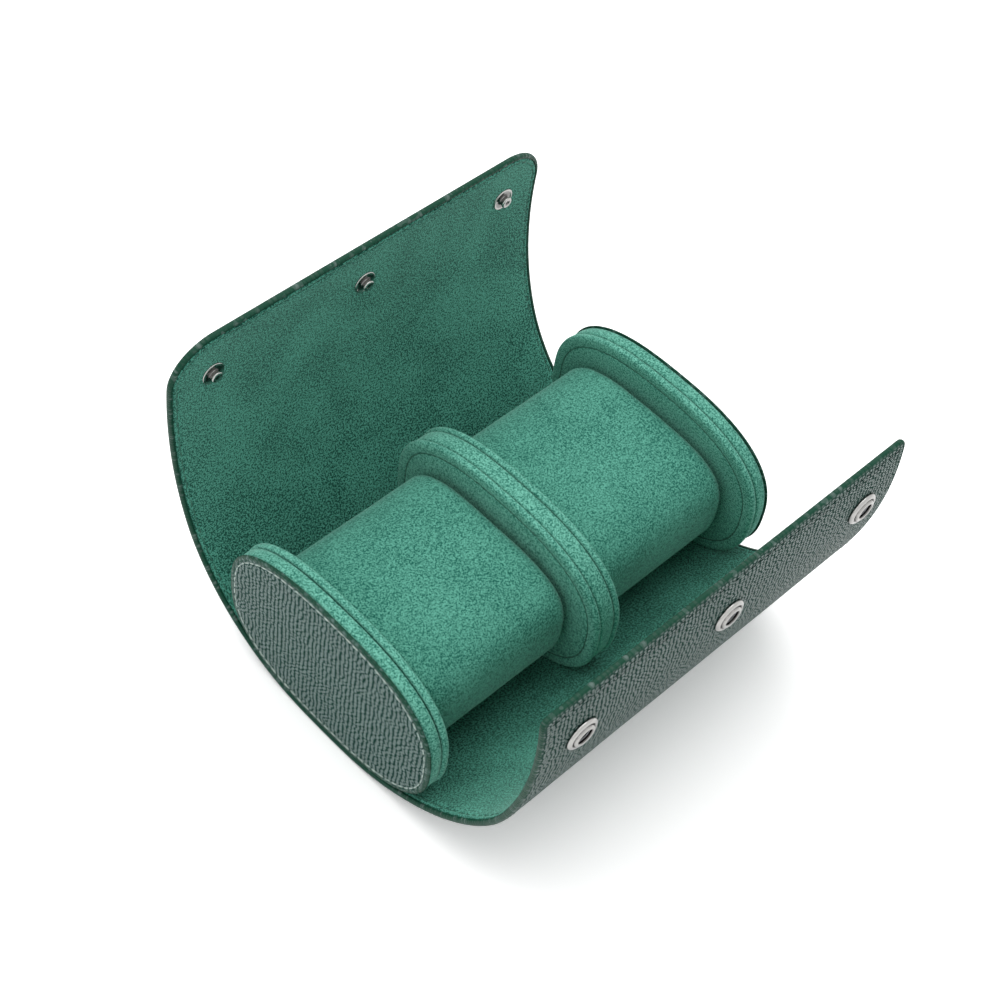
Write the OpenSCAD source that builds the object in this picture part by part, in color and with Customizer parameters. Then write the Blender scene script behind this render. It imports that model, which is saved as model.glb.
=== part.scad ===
// Two-place roll case for wrist watches: an oval roll with a wrap-around flap on each side,
// three press studs, two end caps, a middle divider and two lift-out watch pillows.
// X runs along the roll, -Y is the front flap's side, +Y the lid's side, Z = 0 is the table.

/* [Case] */
// Length of the case along the roll
case_w = 165; // [140:1:220]
// Depth of the oval end caps, front to back
oval_depth = 99.6; // [84:0.2:130]
// Height of the oval end caps
oval_height = 67; // [56:0.2:90]
// Squareness of the oval: 2 is an ellipse
oval_power = 2.55; // [2.2:0.05:3.2]
// How far the underside is pressed flat
foot_press = 0.35; // [0.2:0.05:0.6]

/* [Wrap layers] */
// Thickness of the grained outer leather
leather_t = 1.1; // [0.9:0.1:1.6]
// Thickness of the stiffening board between leather and lining
core_t = 0.8; // [0.5:0.1:1.5]
// Thickness of the suede lining
lining_t = 0.7; // [0.5:0.1:1.2]
// Width of the turned leather hem round the lining
hem_w = 1.2; // [0.8:0.1:3]
// Depth of the base panel on which the end caps are glued, front to back
base_depth = 56; // [44:1:66]
// Length of the fixed heel on each side of the base panel
heel_len = 16; // [10:1:22]
// Gap at each fold line
fold_gap = 0.9; // [0.7:0.05:1.2]

/* [Lid] */
// Length of the first bending strip, next to the heel
lid_strip_1 = 20; // [14:1:30]
// Length of the second bending strip
lid_strip_2 = 26; // [18:1:34]
// Length of the third bending strip
lid_strip_3 = 30; // [16:1:34]
// Length of the stiff panel at the free edge
lid_panel = 48.5; // [38:0.5:70]
// Bend radius of the heel and the first two strips, lid open
lid_bend_r = 70; // [64:1:140]
// Bend radius of the third strip
lid_upper_r = 122; // [80:1:180]
// Bend radius of the stiff panel
lid_panel_r = 168; // [110:1:220]
// Radius of the lid's two free corners
lid_corner_r = 18; // [6:1:24]

/* [Front flap] */
// Length of the first bending strip, next to the heel
front_strip_1 = 20; // [14:1:28]
// Length of the second bending strip
front_strip_2 = 20; // [14:1:28]
// Length of the third bending strip
front_strip_3 = 20; // [14:1:28]
// Length of the stiff panel at the free edge
front_panel = 62.5; // [44:0.5:74]
// Bend radius of the heel and the first two strips, flap open
front_bend_r = 88; // [60:1:110]
// Bend radius of the third strip
front_upper_r = 64; // [50:1:120]
// Bend radius of the stiff panel
front_panel_r = 142; // [110:1:260]
// Radius of the front flap's two free corners
front_corner_r = 3; // [2:1:14]

/* [End caps] */
// Thickness of an end cap
cap_t = 9.5; // [8:0.5:16]
// Thickness of the leather face
face_t = 1.2; // [1:0.1:1.8]
// How far the leather face is crowned
face_crown = 0.8; // [0.4:0.1:1.5]
// Width of the sloping rim round the crowned face
face_rim = 3.2; // [2:0.2:6]
// Thickness of the stiff board behind a face
board_t = 1.5; // [1:0.1:2]
// Thickness of the suede covers
suede_t = 1; // [0.7:0.1:1.4]
// Width of the raised seam at the edge of a suede band
seam_w = 1.4; // [1:0.1:2]
// How far the seam stands proud of the band
seam_rise = 0.8; // [0.5:0.1:1]

/* [Divider] */
// Thickness of the middle divider
divider_t = 12; // [9:0.5:20]

/* [Pillows] */
// Depth of a pillow, front to back
pillow_depth = 79; // [60:1:84]
// Height of a pillow
pillow_height = 45; // [36:1:54]
// Squareness of a pillow's outline
pillow_power = 3.1; // [2.4:0.1:3.6]
// Height of a pillow's underside over the table
pillow_lift = 14.4; // [8.6:0.1:16]
// Play between a pillow and the faces beside it
pillow_play = 0.4; // [0.3:0.1:1]
// How far a pillow's ends are rounded over
pillow_round = 5; // [3:0.5:8]
// Thickness of a pillow's suede cover
cover_t = 1.2; // [0.8:0.1:2]

/* [Press studs] */
// Number of press studs along the edge
snap_count = 3; // [2:1:4]
// Distance from the outer press studs to the case's ends
snap_inset = 17.5; // [14:0.5:30]
// Distance of the studs from the lid's free edge
stud_edge = 19.6; // [14:0.1:28]
// Distance of the sockets from the front flap's free edge
socket_edge = 20.6; // [12:0.1:26]
// Diameter of a stud's flange
stud_d = 10; // [8:0.5:12]
// Thickness of a stud's flange
stud_flange_t = 0.6; // [0.4:0.1:0.8]
// Diameter of a stud's post at its bulb
post_d = 4.4; // [3.6:0.1:4.6]
// Height of a stud's post over its flange
post_h = 2.1; // [1.8:0.1:2.2]
// Diameter of a socket
socket_d = 12.5; // [11:0.5:14]
// Height of a socket over the leather
socket_h = 2.2; // [2:0.1:2.3]
// Diameter of a socket's mouth
mouth_d = 5.6; // [5.4:0.1:6]
// Diameter of the shank that clinches each press stud through the flap
shank_d = 3.4; // [2.8:0.1:3.6]
// Diameter of the clinch plate hidden under the leather or the lining
clinch_d = 9; // [7:0.5:10]
// Thickness of the clinch plate
clinch_t = 0.4; // [0.3:0.1:0.5]

/* [Hidden] */
wrap_t = leather_t + core_t + lining_t;
oval_a = oval_depth / 2;
oval_b = oval_height / 2;
oval_z = oval_b + wrap_t - foot_press;
base_half = base_depth / 2;
oval_steps = 72;
base_steps = 14;
heel_steps = 8;
small = 0.01;
pillow_a = pillow_depth / 2;
pillow_b = pillow_height / 2;
bay_w = (case_w - 2 * cap_t - divider_t) / 2;
bay_x = (divider_t + bay_w) / 2;
snap_pitch = (case_w - 2 * snap_inset) / (snap_count - 1);
round_fn = 96;
small_fn = 48;
small_corner = 0.5;

// A flap is the list of its strip lengths, the list of their radii and its corner radius.
lid_flap = [[heel_len, lid_strip_1, lid_strip_2, lid_strip_3, lid_panel],
    [lid_bend_r, lid_bend_r, lid_bend_r, lid_upper_r, lid_panel_r], lid_corner_r];
front_flap = [[heel_len, front_strip_1, front_strip_2, front_strip_3, front_panel],
    [front_bend_r, front_bend_r, front_bend_r, front_upper_r, front_panel_r], front_corner_r];

// ---- the oval ----

// Height of the oval's underside at a given Y, and the slope there in degrees.
function under_z(y) = oval_z - oval_b * pow(1 - pow(abs(y) / oval_a, oval_power), 1 / oval_power);
function under_slope(y) = sign(y) * atan(oval_b / oval_a * pow(abs(y) / oval_a, oval_power - 1)
    * pow(1 - pow(abs(y) / oval_a, oval_power), 1 / oval_power - 1));

// A point of a closed oval with half sizes a and b.
function oval_point(t, a, b, n) = [a * sign(cos(t)) * pow(abs(cos(t)), 2 / n),
    b * sign(sin(t)) * pow(abs(sin(t)), 2 / n)];

module oval(a, b, n) {
    polygon([for (i = [0:oval_steps - 1]) oval_point(360 * (i + 0.5) / oval_steps, a, b, n)]);
}

// The end caps' oval, drawn smaller by inset, at its height over the table.
module cap_oval(inset) {
    translate([0, oval_z])
        oval(oval_a - inset, oval_b - inset, oval_power);
}

// Turns a drawing in Y and Z into a solid from x0 to x1 along the roll.
module along_roll(x0, x1) {
    translate([x0, 0, 0])
        rotate([90, 0, 90])
            linear_extrude(x1 - x0)
                children();
}

// ---- the flaps' side view, drawn for the lid; the front flap is its mirror image ----

function flap_start() = [base_half, under_z(base_half)]
    + wrap_t / 2 * [sin(under_slope(base_half)), -cos(under_slope(base_half))];
function sweep(flap, i) = flap[0][i] / flap[1][i] * 180 / PI;
function strip_angle(flap, i) = i == 0 ? under_slope(base_half)
    : strip_angle(flap, i - 1) + sweep(flap, i - 1);
function strip_start(flap, i) = i == 0 ? flap_start()
    : strip_point(flap, i - 1, flap[0][i - 1]);
function strip_centre(flap, i) = strip_start(flap, i)
    + flap[1][i] * [-sin(strip_angle(flap, i)), cos(strip_angle(flap, i))];
function angle_at(flap, i, s) = strip_angle(flap, i) + s / flap[1][i] * 180 / PI;
function strip_point(flap, i, s) = strip_centre(flap, i)
    + flap[1][i] * [sin(angle_at(flap, i, s)), -cos(angle_at(flap, i, s))];

// A stretch of strip i from length s0 to s1, between two depths measured from the lining face.
module strip_band(flap, i, s0, s1, depth0, depth1) {
    r = flap[1][i];
    a0 = angle_at(flap, i, s0);
    a1 = angle_at(flap, i, s1);
    am = (a0 + a1) / 2;
    reach = 3 * r;
    translate(strip_centre(flap, i))
        intersection() {
            difference() {
                circle(r - wrap_t / 2 + depth1, $fn = round_fn);
                circle(r - wrap_t / 2 + depth0, $fn = round_fn);
            }
            polygon([[0, 0], reach * [sin(a0), -cos(a0)], reach * [sin(am), -cos(am)],
                reach * [sin(a1), -cos(a1)]]);
        }
}

// Places its children on strip i at length s: X across, Y to the free edge, Z out of the lining,
// with its zero on the lining's face.
module on_strip(flap, i, s) {
    p = strip_point(flap, i, s);
    a = angle_at(flap, i, s);
    translate([0, p[0], p[1]])
        rotate([a, 0, 0])
            translate([0, 0, wrap_t / 2])
                children();
}

// Outline of a panel with two rounded corners at its free edge, which lies on the X axis.
module panel_outline(flap, inset) {
    half = case_w / 2 - inset;
    corner = max(flap[2] - inset, small_corner);
    long = 2 * flap[0][len(flap[0]) - 1];
    translate([-half, -long])
        square([2 * half, long - corner]);
    translate([-half + corner, -long])
        square([2 * (half - corner), long]);
    for (side = [-1, 1])
        translate([side * (half - corner), -corner])
            circle(corner, $fn = round_fn);
}

// One layer of bending strip i, with a gap at each fold line.
module strip_layer(flap, i, depth0, depth1, inset) {
    along_roll(-case_w / 2 + inset, case_w / 2 - inset)
        strip_band(flap, i, fold_gap / 2, flap[0][i] - fold_gap / 2, depth0, depth1);
}

// One layer of the stiff panel, trimmed to its outline.
module panel_layer(flap, depth0, depth1, inset) {
    last = len(flap[0]) - 1;
    length = flap[0][last];
    intersection() {
        along_roll(-case_w, case_w)
            strip_band(flap, last, fold_gap / 2, length + wrap_t, depth0, depth1);
        on_strip(flap, last, length - inset)
            translate([0, 0, -length])
                linear_extrude(2 * length)
                    panel_outline(flap, inset);
    }
}

module snap_row() {
    for (k = [0:snap_count - 1])
        translate([(k - (snap_count - 1) / 2) * snap_pitch, 0, 0])
            children();
}

// The seat of a press stud or socket on the last strip of its flap.
module on_snap_line(flap, edge) {
    last = len(flap[0]) - 1;
    on_strip(flap, last, flap[0][last] - edge)
        snap_row()
            children();
}

module shank_holes(flap, edge) {
    on_snap_line(flap, edge)
        translate([0, 0, -2 * wrap_t])
            cylinder(d = shank_d, h = 4 * wrap_t, $fn = small_fn);
}

// ---- the base panel under the end caps ----

// The underside between the two heels, offset outwards by d.
function base_line(d) = [for (k = [0:base_steps])
    let (y = -base_half + 2 * base_half * k / base_steps, a = under_slope(y))
    [y + d * sin(a), under_z(y) - d * cos(a)]];

// A flap's heel from the base to its first fold, offset outwards by d.
function heel_line(flap, d) = [for (k = [1:heel_steps])
    let (s = (heel_len - fold_gap / 2) * k / heel_steps, a = angle_at(flap, 0, s))
    strip_point(flap, 0, s) + (d - wrap_t / 2) * [sin(a), -cos(a)]];

function reversed(list) = [for (k = [len(list) - 1:-1:0]) list[k]];
function mirrored(list) = [for (p = list) [-p[0], p[1]]];

// The whole base panel from fold to fold, offset outwards by d.
function panel_line(d) = concat(reversed(mirrored(heel_line(front_flap, d))), base_line(d),
    heel_line(lid_flap, d));

module base_section(depth0, depth1) {
    intersection() {
        polygon(concat(panel_line(depth1), reversed(panel_line(depth0))));
        translate([-oval_depth, 0])
            square([2 * oval_depth, oval_height]);
    }
}

module base_leather() {
    color("#4d6b60")
        along_roll(-case_w / 2, case_w / 2)
            base_section(lining_t + core_t, wrap_t);
}

module base_board() {
    color("#b9a889")
        along_roll(-case_w / 2 + hem_w, case_w / 2 - hem_w)
            base_section(lining_t, lining_t + core_t);
}

module base_lining() {
    color("#1f7a5a")
        along_roll(-case_w / 2 + hem_w, case_w / 2 - hem_w)
            base_section(0, lining_t);
}

// ---- the lid ----

module lid_leather(i) {
    color("#4d6b60")
        strip_layer(lid_flap, i, lining_t + core_t, wrap_t, 0);
}

module lid_lining(i) {
    color("#1f7a5a")
        strip_layer(lid_flap, i, 0, lining_t + core_t, hem_w);
}

module lid_panel_leather() {
    color("#4d6b60")
        difference() {
            panel_layer(lid_flap, lining_t + core_t, wrap_t, 0);
            on_snap_line(lid_flap, stud_edge)
                plate_seat();
        }
}

module lid_panel_lining() {
    color("#1f7a5a")
        difference() {
            panel_layer(lid_flap, 0, lining_t, hem_w);
            shank_holes(lid_flap, stud_edge);
            on_snap_line(lid_flap, stud_edge)
                flange_seat();
        }
}

module lid_board() {
    color("#b9a889")
        difference() {
            panel_layer(lid_flap, lining_t, lining_t + core_t, hem_w);
            shank_holes(lid_flap, stud_edge);
            on_snap_line(lid_flap, stud_edge)
                plate_recess();
        }
}

// ---- the front flap ----

module front_leather(i) {
    color("#4d6b60")
        mirror([0, 1, 0])
            strip_layer(front_flap, i, lining_t + core_t, wrap_t, 0);
}

module front_lining(i) {
    color("#1f7a5a")
        mirror([0, 1, 0])
            strip_layer(front_flap, i, 0, lining_t + core_t, hem_w);
}

module front_panel_leather() {
    color("#4d6b60")
        mirror([0, 1, 0])
            difference() {
                panel_layer(front_flap, lining_t + core_t, wrap_t, 0);
                shank_holes(front_flap, socket_edge);
            }
}

module front_panel_lining() {
    color("#1f7a5a")
        mirror([0, 1, 0])
            panel_layer(front_flap, 0, lining_t, hem_w);
}

module front_board() {
    color("#b9a889")
        mirror([0, 1, 0])
            difference() {
                panel_layer(front_flap, lining_t, lining_t + core_t, hem_w);
                shank_holes(front_flap, socket_edge);
                on_snap_line(front_flap, socket_edge)
                    socket_recess();
            }
}

// ---- the press studs ----

// The lid's studs and clinch plates are clinched tight, so each presses a flat seat, seat_t deep,
// into the curved lining or leather under it. A clinch plate's back lies at depth plate_z.
seat_t = 0.05;
plate_z = -(lining_t + core_t) - seat_t;

module flange_seat() {
    translate([0, 0, -seat_t])
        cylinder(d = stud_d + 0.1, h = stud_flange_t, $fn = small_fn);
}

module plate_seat() {
    translate([0, 0, plate_z])
        cylinder(d = clinch_d, h = clinch_t, $fn = small_fn);
}

// Room in the lid's board for a clinch plate at its leather side.
module plate_recess() {
    translate([0, 0, plate_z - wrap_t])
        cylinder(d = clinch_d, h = wrap_t + clinch_t, $fn = small_fn);
}

module socket_recess() {
    translate([0, 0, -lining_t - clinch_t])
        cylinder(d = clinch_d, h = wrap_t, $fn = small_fn);
}

// Stud: a dished flange on the lining with a post that swells to a bulb.
module stud() {
    neck = 0.42 * post_d;
    bulb = post_d / 2;
    rotate_extrude($fn = small_fn)
        polygon([[0, plate_z + clinch_t], [shank_d / 2 - 0.05, plate_z + clinch_t],
            [shank_d / 2 - 0.05, -seat_t], [stud_d / 2, -seat_t], [stud_d / 2, stud_flange_t * 0.6],
            [stud_d / 2 - 0.5, stud_flange_t], [neck + 0.6, stud_flange_t],
            [neck, stud_flange_t + 0.4], [bulb, stud_flange_t + post_h * 0.62],
            [bulb, stud_flange_t + post_h * 0.82], [bulb - 0.5, stud_flange_t + post_h],
            [0, stud_flange_t + post_h]]);
}

module snap_studs() {
    color("#c9cdd1")
        on_snap_line(lid_flap, stud_edge)
            stud();
}

module snap_stud_plates() {
    color("#a8adb2")
        on_snap_line(lid_flap, stud_edge)
            translate([0, 0, plate_z])
                cylinder(d = clinch_d - 0.1, h = clinch_t, $fn = small_fn);
}

// Socket: a domed ring on the leather, hollow under its rolled rim, on a tubular shank.
module socket() {
    outer = socket_d / 2;
    mouth = mouth_d / 2;
    floor_t = 0.05;
    bed = outer - 1.3;
    rotate_extrude($fn = small_fn)
        polygon([[0, -leather_t - core_t + clinch_t], [shank_d / 2 - 0.05, -leather_t - core_t + clinch_t],
            [shank_d / 2 - 0.05, 0], [outer, 0], [outer, socket_h * 0.45],
            [outer - 0.6, socket_h * 0.85], [outer - 1.5, socket_h],
            [mouth + 0.9, socket_h * 0.9], [mouth, socket_h * 0.72],
            [mouth, socket_h * 0.58], [bed, socket_h * 0.58], [bed, floor_t], [0, floor_t]]);
}

// The socket's own frame: Z points out of the leather.
module on_sockets() {
    mirror([0, 1, 0])
        on_snap_line(front_flap, socket_edge)
            translate([0, 0, -wrap_t])
                rotate([180, 0, 0])
                    children();
}

module snap_sockets() {
    color("#c9cdd1")
        on_sockets()
            socket();
}

// Split spring wires lying under each socket's rim, beside the bulb's path.
module snap_springs() {
    wire_r = 0.4;
    ring_r = mouth_d / 2 + 0.5 + wire_r;
    color("#a8adb2")
        on_sockets()
            translate([0, 0, socket_h * 0.3])
                rotate([0, 0, 20])
                    rotate_extrude(angle = 320, $fn = small_fn)
                        translate([ring_r, 0])
                            circle(wire_r, $fn = 16);
}

module snap_socket_plates() {
    color("#a8adb2")
        on_sockets()
            translate([0, 0, -leather_t - core_t])
                cylinder(d = clinch_d - 0.1, h = clinch_t, $fn = small_fn);
}

// ---- the end caps; drawn for the right end, mirrored for the left ----

module cap_face() {
    x1 = case_w / 2;
    x0 = x1 - face_t;
    top_x = (oval_a - face_rim) / oval_a;
    top_y = (oval_b - face_rim) / oval_b;
    color("#4d6b60") {
        along_roll(x0, x1 - face_crown)
            cap_oval(0);
        translate([x1 - face_crown, 0, oval_z])
            rotate([90, 0, 90])
                linear_extrude(face_crown, scale = [top_x, top_y])
                    oval(oval_a, oval_b, oval_power);
    }
}

module cap_board() {
    x1 = case_w / 2 - face_t;
    color("#b9a889")
        along_roll(x1 - board_t, x1)
            cap_oval(seam_rise + suede_t);
}

module cap_foam() {
    color("#d9d4c4")
        along_roll(case_w / 2 - cap_t + suede_t, case_w / 2 - face_t - board_t)
            cap_oval(seam_rise + suede_t);
}

// Suede cup over the board and foam: a band, a raised seam and the inner face.
module cap_suede() {
    x0 = case_w / 2 - cap_t;
    x1 = case_w / 2 - face_t;
    color("#1f7a5a")
        difference() {
            union() {
                along_roll(x0, x1)
                    cap_oval(seam_rise);
                along_roll(x0, x0 + seam_w)
                    cap_oval(0);
            }
            along_roll(x0 + suede_t, x1 + 1)
                cap_oval(seam_rise + suede_t);
        }
}

// ---- the middle divider ----

module divider_board() {
    color("#b9a889")
        along_roll(-divider_t / 2 + suede_t, divider_t / 2 - suede_t)
            cap_oval(seam_rise + suede_t);
}

module divider_suede() {
    half = divider_t / 2;
    color("#1f7a5a")
        difference() {
            union() {
                along_roll(-half, half)
                    cap_oval(seam_rise);
                along_roll(-half, -half + seam_w)
                    cap_oval(0);
                along_roll(half - seam_w, half)
                    cap_oval(0);
            }
            along_roll(-half + suede_t, half - suede_t)
                cap_oval(seam_rise + suede_t);
        }
}

// ---- the pillows; drawn about their own middle ----

module pillow_body(inset) {
    half = bay_w / 2 - pillow_play - inset;
    straight = half - pillow_round + inset;
    a = pillow_a - inset;
    b = pillow_b - inset;
    end_a = (pillow_a - pillow_round * 0.6 - inset) / a;
    end_b = (pillow_b - pillow_round * 0.6 - inset) / b;
    rotate([90, 0, 90])
        linear_extrude(2 * straight, center = true)
            oval(a, b, pillow_power);
    for (side = [0, 1])
        mirror([side, 0, 0])
            translate([straight - small, 0, 0])
                rotate([90, 0, 90])
                    linear_extrude(half - straight + small, scale = [end_a, end_b])
                        oval(a, b, pillow_power);
}

module pillow_cover(side) {
    color("#1f7a5a")
        translate([side * bay_x, 0, pillow_lift + pillow_b])
            difference() {
                pillow_body(0);
                pillow_body(cover_t);
            }
}

module pillow_foam(side) {
    color("#d9d4c4")
        translate([side * bay_x, 0, pillow_lift + pillow_b])
            pillow_body(cover_t);
}

base_leather();
base_board();
base_lining();
lid_leather(1);  // lid_leather_1
lid_leather(2);  // lid_leather_2
lid_leather(3);  // lid_leather_3
lid_panel_leather();  // lid_leather_4
lid_lining(1);  // lid_lining_1
lid_lining(2);  // lid_lining_2
lid_lining(3);  // lid_lining_3
lid_panel_lining();  // lid_lining_4
lid_board();
front_leather(1);  // front_leather_1
front_leather(2);  // front_leather_2
front_leather(3);  // front_leather_3
front_panel_leather();  // front_leather_4
front_lining(1);  // front_lining_1
front_lining(2);  // front_lining_2
front_lining(3);  // front_lining_3
front_panel_lining();  // front_lining_4
front_board();
mirror([1, 0, 0]) cap_face();  // left_cap_face
mirror([1, 0, 0]) cap_board();  // left_cap_board
mirror([1, 0, 0]) cap_foam();  // left_cap_foam
mirror([1, 0, 0]) cap_suede();  // left_cap_suede
cap_face();  // right_cap_face
cap_board();  // right_cap_board
cap_foam();  // right_cap_foam
cap_suede();  // right_cap_suede
divider_board();
divider_suede();
pillow_cover(-1);  // left_pillow_cover
pillow_foam(-1);  // left_pillow_foam
pillow_cover(1);  // right_pillow_cover
pillow_foam(1);  // right_pillow_foam
snap_studs();
snap_stud_plates();
snap_sockets();
snap_springs();
snap_socket_plates();
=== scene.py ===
"""Dresses a two-place roll case for wrist watches: leather, suede, cushions, press studs and light."""
import logging
import math
from dataclasses import dataclass, field
from enum import Enum
from typing import Callable, Iterator, Optional, Sequence

import bmesh
import bpy
import numpy as np
from mathutils import Matrix, Vector, noise


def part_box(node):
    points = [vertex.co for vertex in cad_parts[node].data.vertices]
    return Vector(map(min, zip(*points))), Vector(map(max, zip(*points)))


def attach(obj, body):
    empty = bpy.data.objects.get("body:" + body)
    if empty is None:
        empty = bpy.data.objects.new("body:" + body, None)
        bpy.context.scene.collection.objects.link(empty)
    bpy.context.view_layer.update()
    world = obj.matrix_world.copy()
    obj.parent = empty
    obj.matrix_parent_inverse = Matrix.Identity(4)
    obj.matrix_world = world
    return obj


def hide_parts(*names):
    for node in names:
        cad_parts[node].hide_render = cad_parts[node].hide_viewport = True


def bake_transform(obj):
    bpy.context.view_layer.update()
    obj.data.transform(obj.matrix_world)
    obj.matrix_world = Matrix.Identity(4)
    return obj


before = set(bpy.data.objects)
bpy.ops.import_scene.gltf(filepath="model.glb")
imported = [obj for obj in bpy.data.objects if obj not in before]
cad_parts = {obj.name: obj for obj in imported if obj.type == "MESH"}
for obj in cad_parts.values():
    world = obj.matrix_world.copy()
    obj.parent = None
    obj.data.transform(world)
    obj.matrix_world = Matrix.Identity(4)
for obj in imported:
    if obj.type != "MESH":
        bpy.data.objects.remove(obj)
LOG = logging.getLogger("roll_case")
MM = 0.001
REST = "rest"  # vertex attribute with each point's own place on its sheet or pad
RIM = "rim"  # vertex attribute, 1 on a rolled edge, whose dark colour is partly painted reflection, and in a seam or a metal hollow, where it paints shade
FLOAT, COLOUR, VECTOR = "NodeSocketFloat", "NodeSocketColor", "NodeSocketVector"

Tint = tuple[float, float, float, float]
Point = tuple[float, float, float]  # x, y and z, or a turned section's radius, height and painted shade
Row = Callable[[float], tuple[float, float]]  # from an inset to a row's run and half width
Fold = tuple[str, str, float, float]  # near body, far body, the fold's run and its reach


# ---- meshes ----


def add_object(name: str, data: bpy.types.ID) -> bpy.types.Object:
    """Makes an object and links it to the scene.

    Args:
        name: the object's name.
        data: its mesh, lamp or camera.

    Returns:
        The object.
    """
    thing = bpy.data.objects.new(name, data)
    bpy.context.scene.collection.objects.link(thing)
    return thing


def millimetres(*values: float) -> tuple[float, ...]:
    """Lengths in metres of some lengths in millimetres."""
    return tuple(value * MM for value in values)


class Shell:
    """Collects the points and faces of one piece and makes a mesh object of them."""

    def __init__(self, name: str) -> None:
        """Starts an empty piece.

        Args:
            name: name of the piece.
        """
        self.name = name
        self.points: list[Point] = []
        self.rest: list[Point] = []
        self.rim: list[float] = []
        self.faces: list[tuple[int, ...]] = []
        self.flat: set[int] = set()

    def add(self, place: Sequence[float], rest: Sequence[float], rim: float = 0.0) -> int:
        """Adds a point.

        Args:
            place: where it is, in metres.
            rest: its own place on the flat sheet, for the patterns.
            rim: 1 on a rolled edge, whose dark colour is partly painted reflection, and in a seam or a metal
                hollow, where it paints shade; 0 elsewhere.

        Returns:
            The point's index.
        """
        self.points.append(tuple(place))
        self.rest.append(tuple(rest))
        self.rim.append(rim)
        return len(self.points) - 1

    def quads(self, rows: Sequence[Sequence[int]], closed: bool = False, turned: bool = False) -> None:
        """Joins rows of points with quads.

        Args:
            rows: rows of equally many point indices.
            closed: joins each row's last point to its first.
            turned: turns the faces over.
        """
        for low, high in zip(rows, rows[1:]):
            span = len(low) if closed else len(low) - 1
            for i in range(span):
                j = (i + 1) % len(low)
                face = (low[i], low[j], high[j], high[i])
                self.faces.append(face[::-1] if turned else face)

    def cap(self, loop: Sequence[int], turned: bool = False) -> None:
        """Closes a loop of points with one flat face."""
        self.flat.add(len(self.faces))
        self.faces.append(tuple(reversed(loop)) if turned else tuple(loop))

    def fan(self, hub: int, ring: Sequence[int]) -> None:
        """Closes a ring of points with triangles round a hub."""
        for i, point in enumerate(ring):
            self.faces.append((hub, point, ring[(i + 1) % len(ring)]))

    def build(self, material: bpy.types.Material, slot: str) -> bpy.types.Object:
        """Makes the object.

        Args:
            material: its finish.
            slot: the record's material slot; not used.

        Returns:
            The new object, linked to the scene.
        """
        mesh = bpy.data.meshes.new(self.name)
        mesh.from_pydata(self.points, [], self.faces)
        mesh.polygons.foreach_set("use_smooth", [i not in self.flat for i in range(len(self.faces))])
        rest = mesh.attributes.new(REST, "FLOAT_VECTOR", "POINT")
        rest.data.foreach_set("vector", np.array(self.rest, np.float32).ravel())
        rim = mesh.attributes.new(RIM, "FLOAT", "POINT")
        rim.data.foreach_set("value", np.array(self.rim, np.float32))
        mesh.update()
        grid = bmesh.new()
        grid.from_mesh(mesh)
        bmesh.ops.recalc_face_normals(grid, faces=grid.faces[:])
        grid.faces.ensure_lookup_table()
        for index in self.flat:
            for edge in grid.faces[index].edges:
                edge.smooth = False
        grid.to_mesh(mesh)
        grid.free()
        mesh.materials.append(material)
        piece = add_object(self.name, mesh)
        return piece


def triangles(piece: bpy.types.Object) -> int:
    """Counts the triangles of a piece's mesh."""
    return sum(len(face.vertices) - 2 for face in piece.data.polygons)


def ripple(x: float, y: float, size: float, seed: float) -> float:
    """Smooth unevenness from -1 to 1.

    Args:
        x: first place, in metres.
        y: second place, in metres.
        size: width of one swell, in metres.
        seed: picks another pattern.

    Returns:
        The height of the swell there.
    """
    return noise.noise(Vector((x / size, y / size, seed)))


# ---- the forms that the sheets and pads follow ----


@dataclass(frozen=True)
class Oval:
    """The outline of the end caps and the divider, a squared oval."""

    half_depth: float
    half_height: float
    centre_z: float
    power: float = 2.55

    def point(self, turn: float, inset: float) -> tuple[float, float]:
        """A point of the outline.

        Args:
            turn: angle parameter in radians.
            inset: how far inside the outline, in metres.

        Returns:
            Y and Z.
        """
        a, b = max(self.half_depth - inset, 0.0), max(self.half_height - inset, 0.0)
        c, s = math.cos(turn), math.sin(turn)
        k = 2 / self.power
        return (a * math.copysign(abs(c) ** k, c), self.centre_z + b * math.copysign(abs(s) ** k, s))

    def turns(self, count: int) -> list[float]:
        """Angle parameters of evenly spaced points round the outline.

        Args:
            count: how many.

        Returns:
            The parameters, in order.
        """
        fine_steps = 40 * count
        fine = np.linspace(0, 2 * math.pi, fine_steps + 1)
        ring = np.array([self.point(t, 0.0) for t in fine])
        along = np.concatenate([[0], np.cumsum(np.hypot(*np.diff(ring, axis=0).T))])
        return list(np.interp(np.arange(count) / count * along[-1], along, fine))

    def underside(self, y: float) -> tuple[float, float]:
        """The outline's underside.

        Args:
            y: place across the roll, in metres.

        Returns:
            Its height there, and its slope in radians.
        """
        u = abs(y) / self.half_depth
        height = self.centre_z - self.half_height * (1 - u**self.power) ** (1 / self.power)
        slope = self.half_height / self.half_depth * u ** (self.power - 1)
        slope *= (1 - u**self.power) ** (1 / self.power - 1)
        return height, math.atan(slope)


@dataclass(frozen=True)
class Flap:
    """One flap of the wrap: its heel, three bending strips and stiff panel, from the base outwards."""

    name: str
    side: int
    lengths: tuple[float, ...]
    radii: tuple[float, ...]
    corner: float

    def bodies(self) -> list[str]:
        """The names of the bodies for the heel, the strips and the panel."""
        return ["case"] + [f"{self.name}_strip_{i}" for i in (1, 2, 3)] + [f"{self.name}_panel"]


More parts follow.
